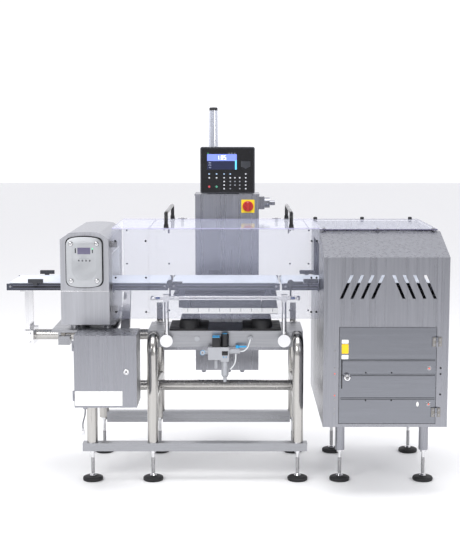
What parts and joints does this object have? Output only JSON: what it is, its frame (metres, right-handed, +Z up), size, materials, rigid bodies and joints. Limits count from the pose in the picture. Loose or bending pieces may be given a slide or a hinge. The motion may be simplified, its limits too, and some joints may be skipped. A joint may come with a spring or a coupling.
{
  "type": "conveyor metal detector with checkweigher and reject cabinet",
  "caption": "Floor-standing conveyor metal detector with a weigh belt under clear guards, a reject cabinet with a pusher and bin, and an operator column.",
  "frame": {"origin": "on the floor under the middle of the machine's bounding box", "axes": "+X along the line from infeed to reject cabinet, +Y away from the operator, +Z up"},
  "size_m": [2.017, 1.11, 1.751],
  "materials": {
    "brushed_stainless": "brushed",
    "satin_stainless": "satin",
    "polished_steel": "polished",
    "black_rubber": "matte",
    "black_plastic": "matte",
    "charcoal_rail": "satin",
    "belt": "matte",
    "white_plastic": "matte",
    "clear_sheet": "clear",
    "roller_steel": "satin",
    "copper": "satin",
    "terminal_grey": "satin",
    "red_plastic": "gloss",
    "blue_plastic": "gloss",
    "beacon_lens": "gloss",
    "hose": "gloss",
    "grey_cable": "matte"
  },
  "bodies": {
    "stand": {"air_hoses": "hose", "air_unit": "black_plastic", "aperture_liner": "white_plastic", "beacon": "beacon_lens", "box_cable": "grey_cable", "box_cable_plug": "polished_steel", "cabinet_cover": "clear_sheet", "cabinet_housing": "brushed_stainless", "column_cabinet": "brushed_stainless", "control_box": "brushed_stainless", "conveyor_motors": "charcoal_rail", "foot_pads": "black_rubber", "foot_rails": "satin_stainless", "foot_spindles": "polished_steel", "guard_brackets": "satin_stainless", "guard_tunnel": "clear_sheet", "guide_scale": "white_plastic", "head_case": "brushed_stainless", "head_mount": "satin_stainless", "head_panel": "satin_stainless", "infeed_belt": "belt", "infeed_frame": "charcoal_rail", "infeed_portal": "satin_stainless", "infeed_support": "satin_stainless", "load_cell": "charcoal_rail", "lower_stretcher": "satin_stainless", "main_portals": "satin_stainless", "operator_terminal": "terminal_grey", "outfeed_belt": "belt", "outfeed_frame": "charcoal_rail", "panel_gasket": "black_rubber", "photocells": "black_plastic", "pusher_cylinder": "black_plastic", "reject_bin": "satin_stainless", "search_coils": "copper", "sensor_rail": "polished_steel", "spine_tube": "satin_stainless", "table_beam": "satin_stainless", "weigh_base": "satin_stainless", "weigh_belt": "belt", "weigh_carrier": "satin_stainless", "weigh_frame": "charcoal_rail", "weigh_isolators": "black_rubber"},
    "guard_lid_body": {"guard_lid": "clear_sheet", "lid_handles": "black_plastic"},
    "cabinet_door_body": {"cabinet_door": "brushed_stainless"},
    "door_lock_body": {"door_lock": "polished_steel"},
    "control_box_door_body": {"control_box_door": "brushed_stainless"},
    "box_lock_body": {"box_lock": "polished_steel"},
    "isolator_knob_body": {"isolator_knob": "red_plastic"},
    "regulator_knob_body": {"regulator_knob": "black_plastic"},
    "shutoff_lever_body": {"shutoff_lever": "blue_plastic"},
    "clamp_lever_body": {"clamp_lever": "black_plastic"},
    "pusher_head_body": {"pusher_head": "satin_stainless"},
    "infeed_tail_roller_body": {"infeed_tail_roller": "roller_steel"},
    "infeed_drive_roller_body": {"infeed_drive_roller": "roller_steel"},
    "weigh_tail_roller_body": {"weigh_tail_roller": "roller_steel"},
    "weigh_drive_roller_body": {"weigh_drive_roller": "roller_steel"},
    "outfeed_tail_roller_body": {"outfeed_tail_roller": "roller_steel"},
    "outfeed_drive_roller_body": {"outfeed_drive_roller": "roller_steel"}
  },
  "joints": [
    {"name": "guard_lid_hinge", "type": "hinge", "parent": "stand", "child": "guard_lid_body", "pos_m": [0, 0.326, 1.19], "axis": [-1, 0, 0], "range_deg": [0, 65]},
    {"name": "cabinet_door_hinge", "type": "hinge", "parent": "stand", "child": "cabinet_door_body", "pos_m": [0.9565, -0.538, 0.555], "axis": [0, 0, 1], "range_deg": [0, 110]},
    {"name": "door_lock_turn", "type": "hinge", "parent": "cabinet_door_body", "child": "door_lock_body", "pos_m": [0.561, -0.53, 0.552], "axis": [0, 1, 0], "range_deg": [0, 90]},
    {"name": "control_box_door_hinge", "type": "hinge", "parent": "stand", "child": "control_box_door_body", "pos_m": [-0.6595, -0.47, 0.5665], "axis": [0, 0, -1], "range_deg": [0, 120]},
    {"name": "box_lock_turn", "type": "hinge", "parent": "control_box_door_body", "child": "box_lock_body", "pos_m": [-0.42, -0.49, 0.5665], "axis": [0, 1, 0], "range_deg": [0, 90]},
    {"name": "isolator_turn", "type": "hinge", "parent": "stand", "child": "isolator_knob_body", "pos_m": [0.129, 0.346, 1.251], "axis": [0, 1, 0], "range_deg": [0, 90]},
    {"name": "regulator_turn", "type": "hinge", "parent": "stand", "child": "regulator_knob_body", "pos_m": [0.017, -0.182, 0.624], "axis": [0, 0, 1], "range_deg": [-540, 540]},
    {"name": "shutoff_turn", "type": "hinge", "parent": "stand", "child": "shutoff_lever_body", "pos_m": [0.076, -0.182, 0.618], "axis": [0, 0, -1], "range_deg": [0, 90]},
    {"name": "clamp_lever_turn", "type": "hinge", "parent": "stand", "child": "clamp_lever_body", "pos_m": [-0.7605, -0.0453, 0.666], "axis": [0, 1, 0], "range_deg": [0, 90]},
    {"name": "pusher_slide", "type": "slide", "parent": "stand", "child": "pusher_head_body", "axis": [0, -1, 0], "range_m": [0, 0.15]},
    {"name": "infeed_drive_roller_spin", "type": "hinge", "parent": "stand", "child": "infeed_drive_roller_body", "pos_m": [-0.267, 0, 0.9067], "axis": [0, 1, 0], "continuous": true},
    {"name": "infeed_tail_roller_spin", "type": "hinge", "parent": "stand", "child": "infeed_tail_roller_body", "pos_m": [-0.9915, 0, 0.9067], "axis": [0, 1, 0], "continuous": true},
    {"name": "weigh_drive_roller_spin", "type": "hinge", "parent": "stand", "child": "weigh_drive_roller_body", "pos_m": [0.258, 0, 0.9067], "axis": [0, 1, 0], "continuous": true},
    {"name": "weigh_tail_roller_spin", "type": "hinge", "parent": "stand", "child": "weigh_tail_roller_body", "pos_m": [-0.223, 0, 0.9067], "axis": [0, 1, 0], "continuous": true},
    {"name": "outfeed_drive_roller_spin", "type": "hinge", "parent": "stand", "child": "outfeed_drive_roller_body", "pos_m": [0.9815, 0, 0.9067], "axis": [0, 1, 0], "continuous": true},
    {"name": "outfeed_tail_roller_spin", "type": "hinge", "parent": "stand", "child": "outfeed_tail_roller_body", "pos_m": [0.302, 0, 0.9067], "axis": [0, 1, 0], "continuous": true}
  ],
  "couplings": [
    {"joint": "infeed_tail_roller_spin", "follows": "infeed_drive_roller_spin", "ratio": 1},
    {"joint": "weigh_tail_roller_spin", "follows": "weigh_drive_roller_spin", "ratio": 1},
    {"joint": "outfeed_tail_roller_spin", "follows": "outfeed_drive_roller_spin", "ratio": 1}
  ]
}
